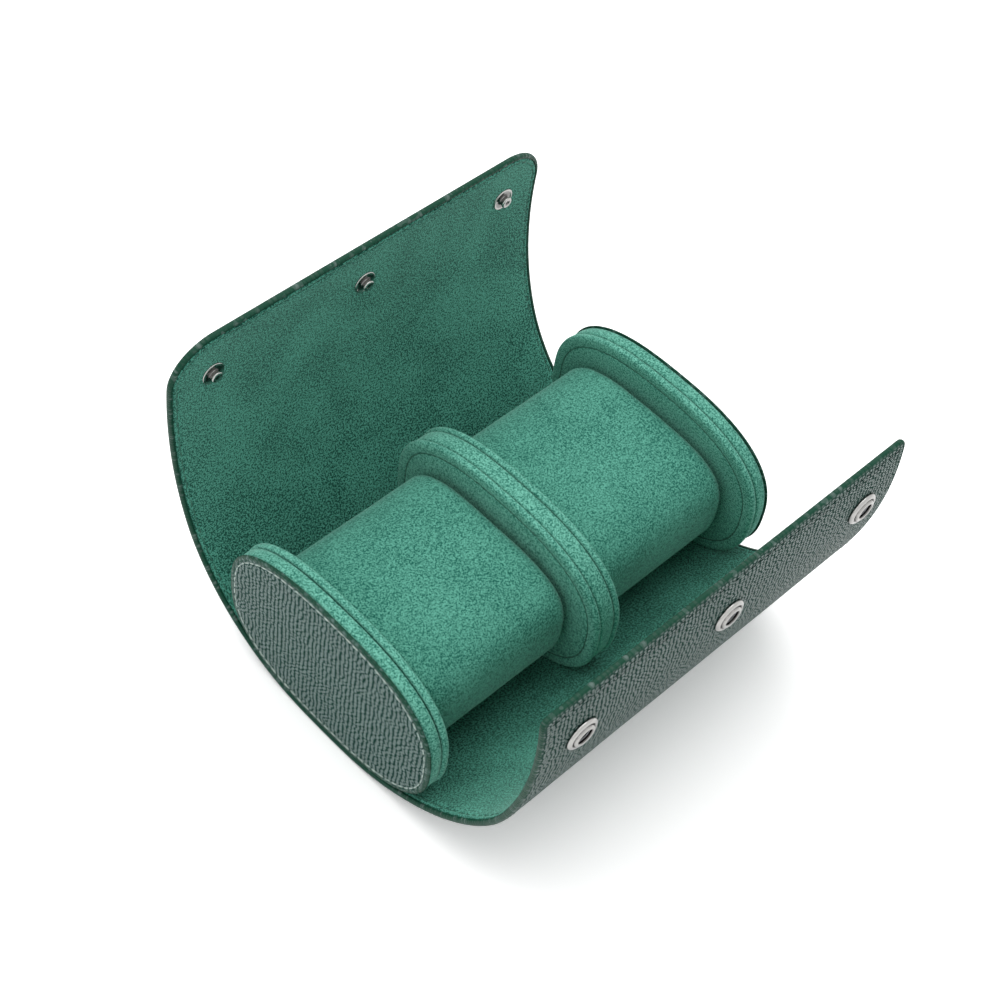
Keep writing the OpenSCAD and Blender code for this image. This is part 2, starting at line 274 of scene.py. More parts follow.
@dataclass
class WrapPath:
    """Side view of the whole wrap: its middle surface, from the front flap's edge to the lid's."""

    oval: Oval
    thickness: float
    base_half: float
    lid: Flap
    front: Flap
    base_steps: int = 80
    strip_steps: int = 120
    tables: dict[int, np.ndarray] = field(default_factory=dict)
    base_run: float = 0.0

    def __post_init__(self) -> None:
        """Works out the tables of place and slope along both flaps."""
        for flap in (self.lid, self.front):
            self.tables[flap.side] = self._table(flap)

    def _table(self, flap: Flap) -> np.ndarray:
        """Follows one flap from the middle of the base, under the oval and round its bends.

        Args:
            flap: the flap.

        Returns:
            Rows of run, y, z and slope.
        """
        rows = []
        run = 0.0
        last: Optional[Vector] = None
        half = self.thickness / 2
        for y in np.linspace(0.0, self.base_half, self.base_steps):
            height, slope = self.oval.underside(float(y))
            here = Vector((float(y) + half * math.sin(slope), height - half * math.cos(slope)))
            run += (here - last).length if last is not None else 0.0
            rows.append((run, here.x, here.y, slope))
            last = here
        self.base_run = run
        _, y, z, slope = rows[-1]
        for length, radius in zip(flap.lengths, flap.radii):
            centre = (y - radius * math.sin(slope), z + radius * math.cos(slope))
            for part in np.linspace(0, 1, self.strip_steps)[1:]:
                angle = slope + length * float(part) / radius
                rows.append((run + length * float(part), centre[0] + radius * math.sin(angle),
                             centre[1] - radius * math.cos(angle), angle))
            run, y, z, slope = rows[-1]
        return np.array(rows)

    def end(self, flap: Flap) -> float:
        """Length from the middle of the base to the flap's free edge."""
        return self.base_run + sum(flap.lengths)

    def fold(self, flap: Flap, index: int) -> float:
        """Length from the middle of the base to fold line 1 to 4."""
        return self.base_run + sum(flap.lengths[:index])

    def point(self, run: float, depth: float) -> tuple[float, float]:
        """A point of the wrap's side view.

        Args:
            run: length from the middle of the base, positive towards the lid.
            depth: distance outwards from the middle surface.

        Returns:
            Y and Z, never below the table.
        """
        side = 1 if run >= 0 else -1
        table = self.tables[side]
        s = abs(run)
        y, z, a = (float(np.interp(s, table[:, 0], table[:, i])) for i in (1, 2, 3))
        over = s - table[-1, 0]
        if over > 0:
            y, z = y + over * math.cos(a), z + over * math.sin(a)
        return side * (y + depth * math.sin(a)), max(z - depth * math.cos(a), 0.0)


# ---- node trees ----


class Tree:
    """Shorthand for building a node tree."""

    def __init__(self, tree: bpy.types.NodeTree) -> None:
        """Takes over a tree and empties it."""
        self.tree = tree
        tree.nodes.clear()

    def add(self, kind: str, inputs: Optional[dict] = None, **settings: object) -> bpy.types.Node:
        """Adds a node.

        Args:
            kind: the node's type name.
            inputs: values or output sockets by input name or number.
            settings: the node's own settings.

        Returns:
            The node.
        """
        node = self.tree.nodes.new(kind)
        for key, value in settings.items():
            setattr(node, key, value)
        for key, value in (inputs or {}).items():
            socket = node.inputs[key]
            if isinstance(value, bpy.types.NodeSocket):
                self.join(value, socket)
            else:
                socket.default_value = value
        return node

    def join(self, source: bpy.types.NodeSocket, target: bpy.types.NodeSocket) -> None:
        """Links an output to an input."""
        self.tree.links.new(source, target)

    def math(self, operation: str, a: object, b: object = 0.0, c: object = 0.0,
             clamp: bool = False) -> bpy.types.NodeSocket:
        """A Math node's result."""
        node = self.add("ShaderNodeMath", {0: a, 1: b, 2: c}, operation=operation, use_clamp=clamp)
        return node.outputs[0]

    def mix(self, share: object, a: object, b: object) -> bpy.types.NodeSocket:
        """Mixes two colours by a share from 0 to 1."""
        node = self.add("ShaderNodeMix", {0: share, 6: a, 7: b}, data_type="RGBA")
        return node.outputs[2]

    def spread(self, value: object, low: float, high: float, to_low: float = 0.0,
               to_high: float = 1.0) -> bpy.types.NodeSocket:
        """Stretches a value from one range to another, clamped."""
        node = self.add("ShaderNodeMapRange", {0: value, 1: low, 2: high, 3: to_low, 4: to_high})
        return node.outputs[0]

    def attribute(self, name: str, output: str) -> bpy.types.NodeSocket:
        """One output of a vertex attribute."""
        return self.add("ShaderNodeAttribute", attribute_name=name).outputs[output]

    def noise(self, place: bpy.types.NodeSocket, scale: object, detail: float,
              **values: float) -> bpy.types.Node:
        """A Noise Texture of a scale per metre and a detail."""
        return self.add("ShaderNodeTexNoise", {"Vector": place, "Scale": scale, "Detail": detail, **values})

    def bump(self, shader: bpy.types.Node, height: bpy.types.NodeSocket, distance: float,
             strength: float = 1.0) -> None:
        """Gives a shader a bump of a height, a distance in metres and a strength."""
        node = self.add("ShaderNodeBump", {"Strength": strength, "Distance": distance, "Height": height})
        self.join(node.outputs[0], shader.inputs["Normal"])


def new_group(name: str, inputs: dict[str, tuple[str, object]],
              outputs: dict[str, str]) -> tuple[Tree, dict, dict]:
    """Makes an empty shader node group.

    Args:
        name: the group's name.
        inputs: socket type and default by name.
        outputs: socket type by name.

    Returns:
        The tree, its input sockets by name and its output node's sockets by name.
    """
    group = bpy.data.node_groups.new(name, "ShaderNodeTree")
    for key, (kind, default) in inputs.items():
        socket = group.interface.new_socket(key, in_out="INPUT", socket_type=kind)
        if default is not None:
            socket.default_value = default
    for key, kind in outputs.items():
        group.interface.new_socket(key, in_out="OUTPUT", socket_type=kind)
    tree = Tree(group)
    start = tree.add("NodeGroupInput")
    end = tree.add("NodeGroupOutput")
    return tree, {key: start.outputs[key] for key in inputs}, {key: end.inputs[key] for key in outputs}


def nap_group() -> bpy.types.NodeTree:
    """Brushed suede: nap that lies in patches, fine fibres and flecks.

    Returns:
        A group that gives the colour and the height of the fibres.
    """
    tree, given, out = new_group(
        "suede_nap",
        {"Place": (VECTOR, None), "Dark": (COLOUR, (0, 0, 0, 1)), "Light": (COLOUR, (1, 1, 1, 1)),
         "Patch Size": (FLOAT, 0.03), "Patchiness": (FLOAT, 0.5), "Fleck": (FLOAT, 0.5)},
        {"Colour": COLOUR, "Height": FLOAT})
    patch_scale = tree.math("DIVIDE", 1.0, given["Patch Size"])
    patch = tree.noise(given["Place"], patch_scale, 4.0, Roughness=0.55, Distortion=0.6)
    fibre = tree.noise(given["Place"], 2300.0, 1.0, Roughness=0.5)
    clump = tree.noise(given["Place"], 1450.0, 1.0, Roughness=0.5)
    patched = tree.spread(patch.outputs["Fac"], 0.36, 0.64, -0.5, 0.5)
    fleck = tree.math("ADD", tree.spread(fibre.outputs["Fac"], 0.35, 0.65, -0.5, 0.5),
                      tree.spread(clump.outputs["Fac"], 0.35, 0.65, -0.5, 0.5))
    tone = tree.math("ADD", tree.math("MULTIPLY", patched, given["Patchiness"]),
                     tree.math("MULTIPLY", fleck, given["Fleck"]))
    share = tree.math("ADD", tone, 0.5, clamp=True)
    tree.join(tree.mix(share, given["Dark"], given["Light"]), out["Colour"])
    height = tree.math("ADD", tree.math("MULTIPLY", fibre.outputs["Fac"], 0.5),
                       tree.math("MULTIPLY", clump.outputs["Fac"], 0.5))
    tree.join(height, out["Height"])
    return tree.tree


def pebble_group() -> bpy.types.NodeTree:
    """Pebble-grained leather: long rounded pebbles with dark creases between them.

    Returns:
        A group that gives the height, the crease mask and a tone that differs from pebble to pebble.
    """
    tree, given, out = new_group(
        "leather_pebbles",
        {"Place": (VECTOR, None), "Length": (FLOAT, 1.9 * MM), "Width": (FLOAT, 1.1 * MM),
         "Smooth": (FLOAT, 0.0)},
        {"Height": FLOAT, "Top": FLOAT, "Tone": FLOAT})
    bend = tree.noise(given["Place"], 190.0, 1.0)
    shift = tree.add("ShaderNodeVectorMath", {0: bend.outputs["Color"], 1: (0.5, 0.5, 0.5)},
                     operation="SUBTRACT")
    push = tree.add("ShaderNodeVectorMath", {0: shift.outputs[0], "Scale": 0.8 * MM}, operation="SCALE")
    moved = tree.add("ShaderNodeVectorMath", {0: given["Place"], 1: push.outputs[0]}, operation="ADD")
    sizes = tree.add("ShaderNodeCombineXYZ", {0: given["Length"], 1: given["Width"], 2: given["Width"]})
    grid = tree.add("ShaderNodeVectorMath", {0: moved.outputs[0], 1: sizes.outputs[0]}, operation="DIVIDE")
    spots = {"Vector": grid.outputs[0], "Scale": 1.0, "Randomness": 0.62}
    cells = tree.add("ShaderNodeTexVoronoi", spots, feature="DISTANCE_TO_EDGE", voronoi_dimensions="2D")
    tones = tree.add("ShaderNodeTexVoronoi", spots, voronoi_dimensions="2D")
    pores = tree.noise(given["Place"], 2600.0, 2.0)
    # The share of the way from a pebble's crease to its middle, so that small pebbles rise as large ones do.
    reach = tree.math("ADD", cells.outputs["Distance"], tones.outputs["Distance"])
    inward = tree.math("DIVIDE", cells.outputs["Distance"], reach)
    top = tree.add("ShaderNodeMapRange", {0: inward, 1: 0.13, 2: 0.52, 3: 0.0, 4: 1.0},
                   interpolation_type="SMOOTHSTEP").outputs[0]
    round_top = tree.spread(tones.outputs["Distance"], 0.3, 0.9, 1.0, 0.7)
    raised = tree.math("MAXIMUM", tree.math("MULTIPLY", top, round_top), given["Smooth"])
    height = tree.math("MULTIPLY_ADD", pores.outputs["Fac"], 0.06, raised)
    tree.join(height, out["Height"])
    tree.join(raised, out["Top"])
    split = tree.add("ShaderNodeSeparateColor", {0: tones.outputs["Color"]})
    tree.join(split.outputs[0], out["Tone"])
    return tree.tree


def wear_group() -> bpy.types.NodeTree:
    """Fine scratches and smudges on metal.

    Returns:
        A group that gives a roughness and a height.
    """
    tree, given, out = new_group(
        "metal_wear", {"Place": (VECTOR, None), "Clean": (FLOAT, 0.1), "Worn": (FLOAT, 0.35)},
        {"Roughness": FLOAT, "Height": FLOAT})
    smudge = tree.noise(given["Place"], 420.0, 4.0)
    scratch = tree.noise(given["Place"], 3200.0, 2.0)
    share = tree.spread(smudge.outputs["Fac"], 0.42, 0.68)
    span = tree.math("SUBTRACT", given["Worn"], given["Clean"])
    tree.join(tree.math("MULTIPLY_ADD", share, span, given["Clean"]), out["Roughness"])
    tree.join(scratch.outputs["Fac"], out["Height"])
    return tree.tree


# ---- finishes ----


class Layer(Enum):
    """The two show layers of the wrap."""

    LEATHER = "leather"
    LINING = "lining"


def shaded(colour: Tint, share: float) -> Tint:
    """A colour darkened to a share of itself."""
    return tuple(share * v for v in colour[:3]) + (1,)


def principled(name: str, values: dict[str, object]) -> tuple[Tree, bpy.types.Node, bpy.types.Material]:
    """Makes a material with a Principled BSDF on its output.

    Args:
        name: the material's name.
        values: the shader's fixed values by input name.

    Returns:
        Its tree, the shader and the material.
    """
    material = bpy.data.materials.new(name)
    material.use_nodes = True
    tree = Tree(material.node_tree)
    shader = tree.add("ShaderNodeBsdfPrincipled", values)
    end = tree.add("ShaderNodeOutputMaterial", {"Surface": shader.outputs[0]})
    end.is_active_output = True
    return tree, shader, material


@dataclass(frozen=True)
class Suede:
    """Microfibre suede."""

    name: str
    dark: Tint
    light: Tint
    patchiness: float
    fleck: float
    patch_size: float = 26 * MM
    sheen: float = 0.35
    seam_shade_share: float = 0.25

    def material(self, group: bpy.types.NodeTree) -> bpy.types.Material:
        """Builds the material.

        Args:
            group: the nap group.

        Returns:
            The material.
        """
        tree, shader, material = principled(self.name, {
            "Roughness": 0.95, "Specular IOR Level": 0.15, "Sheen Weight": self.sheen,
            "Sheen Roughness": 0.45, "Sheen Tint": (0.55, 0.95, 0.82, 1)})
        given = {"Place": tree.attribute(REST, "Vector"), "Dark": self.dark, "Light": self.light,
                 "Patch Size": self.patch_size, "Patchiness": self.patchiness, "Fleck": self.fleck}
        nap = tree.add("ShaderNodeGroup", given, node_tree=group)
        # Painted shade: the piping grooves and the stitched seams go dark.
        seam = shaded(self.dark, self.seam_shade_share)
        colour = tree.mix(tree.attribute(RIM, "Fac"), nap.outputs["Colour"], seam)
        tree.join(colour, shader.inputs["Base Color"])
        tree.bump(shader, nap.outputs["Height"], 0.4 * MM, 0.6)
        return material


@dataclass(frozen=True)
class Leather:
    """Pebble-grained coated leather with a smooth glossy rolled edge."""

    name: str
    crease: Tint
    pebble: Tint
    # The rolled edge's colour: its own dark green with a painted reflection of the dark suede beside it.
    edge: Tint
    length: float = 1.9 * MM
    width: float = 1.1 * MM
    gloss: float = 0.9

    def material(self, group: bpy.types.NodeTree) -> bpy.types.Material:
        """Builds the material.

        Args:
            group: the pebble group.

        Returns:
            The material.
        """
        tree, shader, material = principled(self.name, {"Specular IOR Level": 0.12, "Coat Roughness": 0.4})
        edge = tree.attribute(RIM, "Fac")
        given = {"Place": tree.attribute(REST, "Vector"), "Length": self.length, "Width": self.width,
                 "Smooth": tree.math("MULTIPLY", edge, 0.5)}
        pebbles = tree.add("ShaderNodeGroup", given, node_tree=group)
        top, tone = pebbles.outputs["Top"], pebbles.outputs["Tone"]
        # Painted shade: each pebble darkens from its top down into the creases, over the grain's own darker
        # creases.
        share = tree.math("MULTIPLY", top, tree.spread(tone, 0.0, 1.0, 0.78, 1.08))
        grained = tree.mix(share, self.crease, self.pebble)
        # Painted glints: a few pebbles of the dark edge take the pebble colour, as highlights on the rolled
        # edge.
        worn = tree.math("MULTIPLY", tree.spread(tone, 0.7, 0.95, 0.0, 0.5), top)
        edge_reflection_and_glints = tree.mix(worn, self.edge, self.pebble)
        tree.join(tree.mix(edge, grained, edge_reflection_and_glints), shader.inputs["Base Color"])
        rough = tree.spread(top, 0.0, 1.0, 0.9, 0.5)
        tree.join(tree.math("MULTIPLY_ADD", edge, -0.14, rough), shader.inputs["Roughness"])
        dull = tree.math("MULTIPLY_ADD", edge, -0.6, 1.0)
        shine = tree.math("MULTIPLY", tree.spread(top, 0.2, 1.0), dull)
        tree.join(tree.math("MULTIPLY", shine, self.gloss), shader.inputs["Coat Weight"])
        tree.bump(shader, pebbles.outputs["Height"], 0.28 * MM)
        return material


@dataclass(frozen=True)
class Metal:
    """Plated or plain metal."""

    name: str
    colour: Tint
    clean: float
    worn: float
    painted_shade_share: float = 0.05

    def material(self, group: bpy.types.NodeTree) -> bpy.types.Material:
        """Builds the material.

        Args:
            group: the wear group.

        Returns:
            The material.
        """
        tree, shader, material = principled(self.name, {"Metallic": 1.0})
        place = tree.add("ShaderNodeTexCoord").outputs["Object"]
        given = {"Place": place, "Clean": self.clean, "Worn": self.worn}
        wear = tree.add("ShaderNodeGroup", given, node_tree=group)
        tree.join(wear.outputs["Roughness"], shader.inputs["Roughness"])
        tree.bump(shader, wear.outputs["Height"], 0.1 * MM, 0.15)
        # Painted shade: the grooves, the mouth and the foot of each snap go nearly black.
        painted_shade = shaded(self.colour, self.painted_shade_share)
        tree.join(tree.mix(tree.attribute(RIM, "Fac"), self.colour, painted_shade), shader.inputs["Base Color"])
        return material


@dataclass(frozen=True)
class Thread:
    """Twisted polyester sewing thread."""

    name: str
    dark: Tint
    light: Tint
    twist: float = 0.5 * MM

    def material(self) -> bpy.types.Material:
        """Builds the material.

        Returns:
            The material.
        """
        tree, shader, material = principled(self.name, {"Roughness": 0.6})
        wave = tree.noise(tree.add("ShaderNodeTexCoord").outputs["Object"], 1.0 / self.twist, 2.0)
        share = tree.spread(wave.outputs["Fac"], 0.35, 0.65)
        tree.join(tree.mix(share, self.dark, self.light), shader.inputs["Base Color"])
        tree.bump(shader, wave.outputs["Fac"], 0.1 * MM, 0.5)
        return material


@dataclass(frozen=True)
class Board:
    """Grey pulp board, and the foam pressed on it."""

    name: str
    dark: Tint
    light: Tint
    pulp: float = 900.0

    def material(self) -> bpy.types.Material:
        """Builds the material.

        Returns:
            The material.
        """
        tree, shader, material = principled(self.name, {"Roughness": 0.9})
        pulp = tree.noise(tree.add("ShaderNodeTexCoord").outputs["Object"], self.pulp, 3.0)
        tree.join(tree.mix(pulp.outputs["Fac"], self.dark, self.light), shader.inputs["Base Color"])
        return material


@dataclass
class Finishes:
    """Every material of the case, built once."""

    lining: bpy.types.Material = field(init=False)
    pad: bpy.types.Material = field(init=False)
    pillow: bpy.types.Material = field(init=False)
    wrap: bpy.types.Material = field(init=False)
    cap: bpy.types.Material = field(init=False)
    nickel: bpy.types.Material = field(init=False)
    steel: bpy.types.Material = field(init=False)
    leather_thread: bpy.types.Material = field(init=False)
    wrap_thread: bpy.types.Material = field(init=False)
    suede_thread: bpy.types.Material = field(init=False)
    board: bpy.types.Material = field(init=False)

    def __post_init__(self) -> None:
        """Builds the groups, then the materials."""
        nap, pebbles, wear = nap_group(), pebble_group(), wear_group()
        self.lining = Suede("lining_suede", (0.004, 0.060, 0.042, 1), (0.092, 0.355, 0.265, 1),
                            patchiness=0.42, fleck=1.35, patch_size=34 * MM).material(nap)
        self.pad = Suede("pad_suede", (0.018, 0.145, 0.105, 1), (0.180, 0.520, 0.405, 1),
                         patchiness=0.15, fleck=0.75).material(nap)
        self.pillow = Suede("pillow_suede", (0.010, 0.110, 0.080, 1), (0.120, 0.400, 0.305, 1),
                            patchiness=0.2, fleck=0.75).material(nap)
        # The crease colour is partly painted shade. The edge colour is partly painted reflection.
        dark, green = (0.008, 0.040, 0.030, 1), (0.002, 0.050, 0.027, 1)
        # The wrap's pebbles are greyer than the cap's: the leather's own colour with a painted reflection of
        # the white floor on the flaps.
        self.wrap = Leather("wrap_leather", dark, (0.168, 0.233, 0.217, 1), green,
                            length=1.8 * MM).material(pebbles)
        self.cap = Leather("cap_leather", dark, (0.172, 0.278, 0.259, 1), green).material(pebbles)
        self.nickel = Metal("polished_nickel", (0.50, 0.495, 0.48, 1), 0.12, 0.28).material(wear)
        self.steel = Metal("plain_steel", (0.45, 0.46, 0.48, 1), 0.25, 0.45).material(wear)
        self.leather_thread = Thread("leather_thread", (0.30, 0.42, 0.37, 1),
                                     (0.68, 0.78, 0.73, 1)).material()
        self.wrap_thread = Thread("wrap_thread", (0.06, 0.10, 0.09, 1), (0.22, 0.30, 0.27, 1)).material()
        self.suede_thread = Thread("suede_thread", (0.008, 0.060, 0.040, 1),
                                   (0.040, 0.200, 0.140, 1)).material()
        self.board = Board("grey_board", (0.30, 0.26, 0.19, 1), (0.52, 0.46, 0.36, 1)).material()


# ---- stitches ----


@dataclass
class StitchMaker:
    """Sews rows of stitches along paths with one Geometry Nodes tree."""

    pitch: float = 3.5 * MM
    length: float = 2.8 * MM
    radius: float = 0.22 * MM
    flatness: float = 1.25
    segments: int = 6
    tree: bpy.types.NodeTree = field(init=False)
    sockets: dict[str, str] = field(default_factory=dict)

    def __post_init__(self) -> None:
        """Builds the tree: a path of edges becomes a curve, and a stitch lies at each step."""
        tree = bpy.data.node_groups.new("stitch_row", "GeometryNodeTree")
        face = tree.interface
        face.new_socket("Geometry", in_out="INPUT", socket_type="NodeSocketGeometry")
        for name, kind in (("Pitch", FLOAT), ("Length", FLOAT), ("Radius", FLOAT),
                           ("Thread", "NodeSocketMaterial")):
            self.sockets[name] = face.new_socket(name, in_out="INPUT", socket_type=kind).identifier
        face.new_socket("Geometry", in_out="OUTPUT", socket_type="NodeSocketGeometry")
        build = Tree(tree)
        start = build.add("NodeGroupInput")
        curve = build.add("GeometryNodeMeshToCurve", {"Mesh": start.outputs["Geometry"]})
        steps = build.add("GeometryNodeCurveToPoints",
                          {"Curve": curve.outputs[0], "Length": start.outputs["Pitch"]}, mode="LENGTH")
        ball = build.add("GeometryNodeMeshUVSphere",
                         {"Segments": self.segments, "Rings": self.segments, "Radius": 1.0})
        half = build.math("MULTIPLY", start.outputs["Length"], 0.5)
        flat = build.math("MULTIPLY", start.outputs["Radius"], self.flatness)
        size = build.add("ShaderNodeCombineXYZ", {0: flat, 1: start.outputs["Radius"], 2: half})
        lay = build.add("GeometryNodeInstanceOnPoints",
                        {"Points": steps.outputs["Points"], "Instance": ball.outputs["Mesh"],
                         "Rotation": steps.outputs["Rotation"], "Scale": size.outputs[0]})
        whole = build.add("GeometryNodeRealizeInstances", {0: lay.outputs[0]})
        smooth = build.add("GeometryNodeSetShadeSmooth", {0: whole.outputs[0]})
        dress = build.add("GeometryNodeSetMaterial",
                          {0: smooth.outputs[0], "Material": start.outputs["Thread"]})
        build.add("NodeGroupOutput", {0: dress.outputs[0]})
        self.tree = tree

    def sew(self, name: str, paths: Sequence[Sequence[Sequence[float]]], thread: bpy.types.Material,
            closed: bool = False) -> bpy.types.Object:
        """Sews one piece.

        Args:
            name: name of the new piece.
            paths: lists of points along which the stitches lie.
            thread: the thread's material.
            closed: joins each path's end to its start.

        Returns:
            A plain mesh object of the stitches.
        """
        points: list[Sequence[float]] = []
        edges: list[tuple[int, int]] = []
        for path in paths:
            first = len(points)
            points += list(path)
            edges += [(i, i + 1) for i in range(first, len(points) - 1)]
            if closed:
                edges.append((len(points) - 1, first))
        mesh = bpy.data.meshes.new(name + "_path")
        mesh.from_pydata([tuple(p) for p in points], edges, [])
        guide = add_object(name + "_path", mesh)
        sewing = guide.modifiers.new("stitches", "NODES")
        sewing.node_group = self.tree
        for key, value in (("Pitch", self.pitch), ("Length", self.length), ("Radius", self.radius),
                           ("Thread", thread)):
            sewing[self.sockets[key]] = value
        depsgraph = bpy.context.evaluated_depsgraph_get()
        sewn = bpy.data.meshes.new_from_object(guide.evaluated_get(depsgraph))
        sewn.name = name
        piece = add_object(name, sewn)
        bpy.data.objects.remove(guide)
        LOG.info("stitches %s: %d triangles", name, triangles(piece))
        return piece


# ---- the wrap ----


@dataclass(frozen=True)
class SheetPlan:
    """How one layer of the wrap is shaped and sewn, with lengths in millimetres."""

    layer: Layer
    slot: str
    hem: float
    stitch_depth: float
    # The unevenness: its height and its pattern.
    swell: float
    seed: float
    # The edge, as (inset from the outline, depth outwards from the middle surface).
    profile: tuple[tuple[float, float], ...]


LEATHER_PLAN = SheetPlan(Layer.LEATHER, "leather", hem=0.0, stitch_depth=1.2, swell=0.11, seed=3.0, profile=(
    (5.0, 1.30), (3.7, 1.29), (3.35, 1.17), (3.1, 1.12), (2.85, 1.17), (2.4, 1.29), (1.5, 1.27), (0.8, 1.14),
    (0.3, 0.82), (0.06, 0.4), (0.0, 0.0), (0.06, -0.5), (0.3, -0.92), (0.7, -1.16), (1.1, -1.2),
    (1.4, -1.05), (1.55, -0.7), (1.55, -0.2)))
LINING_PLAN = SheetPlan(Layer.LINING, "suede", hem=1.6, stitch_depth=-1.15, swell=0.22, seed=7.0, profile=(
    (5.4, -1.30), (4.2, -1.30), (3.5, -1.22), (3.1, -1.08), (2.75, -1.22), (2.4, -1.32), (2.0, -1.25),
    (1.72, -1.0), (1.6, -0.6), (1.6, -0.25)))


@dataclass
class Wrap:
    """The leather sheet and its suede lining, cut at mid-strip so that each piece crosses one fold."""

    path: WrapPath
    half_width: float
    finishes: Finishes
    stitches: StitchMaker
    step: float = 1.5 * MM
    columns: int = 56
    stitch_inset: float = 3.1 * MM
    # The sheets' unevenness: its width, and where it fades near the edges.
    swell_width: float = 30 * MM
    swell_fade: float = 12 * MM
    # The dark edge, its own colour with a painted reflection of the dark suede: its inset on the show face,
    # the width of its fade, and how far out the show face lies.
    rim_from: float = 1.1
    rim_fade: float = 0.7
    show_depth: float = 0.9
    # How much of the way to the nearer cut a fold's reach runs, and how many thread radii a row keeps off the
    # table.
    bend_share: float = 0.92
    table_share: float = 1.3

    def outline(self, start: float, flap: Optional[Flap], stop: float) -> list[Row]:
        """Rows across a piece.

        Args:
            start: run of the first row.
            flap: the flap whose free edge the piece has, or None.
            stop: run of the last row.

        Returns:
            For each row a function from inset to (run, half width).
        """
        half = self.half_width
        side, corner = (flap.side, flap.corner) if flap else (0, 0.0)
        straight = stop - side * corner
        count = max(2, round(abs(straight - start) / self.step))
        rows: list[Row] = [
            lambda d, s=float(s): (s, half - d) for s in np.linspace(start, straight, count + 1)]
        if flap is None:
            return rows
        turns = max(6, round(corner * math.pi / 2 / self.step))
        for k in range(1, turns + 1):
            a = math.pi / 2 * k / turns
            rows.append(lambda d, a=a: (straight + side * (corner - d) * math.sin(a),
                                        half - corner + (corner - d) * math.cos(a)))
        return rows

    def sheet(self, name: str, plan: SheetPlan, start: float, stop: float,
              flap: Optional[Flap]) -> bpy.types.Object:
        """Builds one piece of leather or lining as a closed sheet with a shaped edge.

        Args:
            name: name of the piece.
            plan: leather or lining.
            start: run of its first cut.
            stop: run of its second cut or free edge.
            flap: the flap whose free edge it has, or None.

        Returns:
            The object.
        """
        shell = Shell(name)
        rows = self.outline(start, flap, stop)
        outwards, profile = plan.layer is Layer.LEATHER, plan.profile
        shares = np.linspace(-1, 1, self.columns + 1)

        def place(run: float, x: float, inset: float, depth: float) -> int:
            """Adds a point.

            Args:
                run: length from the middle of the base.
                x: place along the roll.
                inset: distance from the outline, in millimetres.
                depth: distance outwards from the middle surface, in millimetres.

            Returns:
                The point's index.
            """
            swell = 0.0
            if inset >= profile[0][0]:
                fade = min((self.half_width - abs(x)) / self.swell_fade, 1.0)
                swell = plan.swell * ripple(x, run, self.swell_width, plan.seed) * fade
            y, z = self.path.point(run, (depth + swell) * MM)
            # The leather's edge and back take the dark edge colour, partly painted reflection. The lining
            # takes none.
            rim = 1.0 if outwards else 0.0
            if depth > self.show_depth:
                rim = min(max((self.rim_from - inset) / self.rim_fade, 0.0), 1.0)
            return shell.add((x, y, z), (x, run, depth * MM), rim)

        faces = []
        for inset, depth in (profile[0], profile[-1]):
            grid = []
            for row in rows:
                run, width = row(inset * MM)
                grid.append([place(run, width * float(t), inset, depth) for t in shares])
            faces.append(grid)
        shell.quads(faces[0])
        shell.quads(faces[1], turned=True)
        loops = []
        for index, (inset, depth) in enumerate(profile):
            if index in (0, len(profile) - 1):
                grid = faces[0 if index == 0 else 1]
                left, middle, right = [r[0] for r in grid], grid[-1][1:-1], [r[-1] for r in grid]
            else:
                left = [place(*self._edge(row, inset, -1), inset, depth) for row in rows]
                right = [place(*self._edge(row, inset, 1), inset, depth) for row in rows]
                run, width = rows[-1](inset * MM)
                middle = [place(run, width * float(t), inset, depth) for t in shares[1:-1]] if flap else []
            loops.append((left, middle, right))
        if flap:
            shell.quads([left + middle + right[::-1] for left, middle, right in loops])
        else:
            shell.quads([left for left, _, _ in loops])
            shell.quads([right for _, _, right in loops], turned=True)
        shell.cap(faces[0][0] + [right[0] for _, _, right in loops[1:-1]] + faces[1][0][::-1]
                  + [left[0] for left, _, _ in loops[-2:0:-1]])
        if not flap:
            shell.cap(faces[0][-1] + [right[-1] for _, _, right in loops[1:-1]] + faces[1][-1][::-1]
                      + [left[-1] for left, _, _ in loops[-2:0:-1]], turned=True)
        return shell.build(self.finishes.wrap if outwards else self.finishes.lining, plan.slot)

    def _edge(self, row: Row, inset: float, side: int) -> tuple[float, float]:
        """Run and x of a row's end at an inset in millimetres."""
        run, width = row(inset * MM)
        return run, side * width

    def seam(self, start: float, stop: float, flap: Optional[Flap], depth: float) -> list[list[Point]]:
        """Paths of the stitch row along a piece's edges.

        Args:
            start: run of the first cut.
            stop: run of the second cut or free edge.
            flap: the flap whose free edge the piece has, or None.
            depth: how deep the stitches lie, in millimetres outwards.

        Returns:
            One path round the free edge, or one on each side.
        """
        rows = self.outline(start, flap, stop)
        lowest = self.table_share * self.stitches.radius
        sides = []
        for side in (-1, 1):
            path = []
            for row in rows:
                run, width = row(self.stitch_inset)
                y, z = self.path.point(run, depth * MM)
                path.append((side * width, y, max(z, lowest)))
            sides.append(path)
        return [sides[0] + sides[1][::-1]] if flap else sides

    def spans(self) -> Iterator[tuple[str, float, float, Optional[Flap], Optional[Fold]]]:
        """Cuts the wrap at mid-strip.

        Returns:
            For each piece its name, the runs of its two ends, the flap whose free edge it has, and its fold.
        """
        flaps = (self.path.lid, self.path.front)
        cuts = {flap.name: [self.path.fold(flap, i) + flap.lengths[i] / 2 for i in range(4)]
                for flap in flaps}
        yield "base", -cuts["front"][0], cuts["lid"][0], None, None
        for flap in flaps:
            marks, bodies = cuts[flap.name], flap.bodies()
            for i in range(4):
                stop = marks[i + 1] if i < 3 else self.path.end(flap)
                fold = self.path.fold(flap, i + 1)
                near = fold - marks[i]
                reach = self.bend_share * (min(near, stop - fold) if i < 3 else near)
                yield (f"{flap.name}_{i + 1}", flap.side * marks[i], flap.side * stop,
                       flap if i == 3 else None, (bodies[i], bodies[i + 1], flap.side * fold, reach))

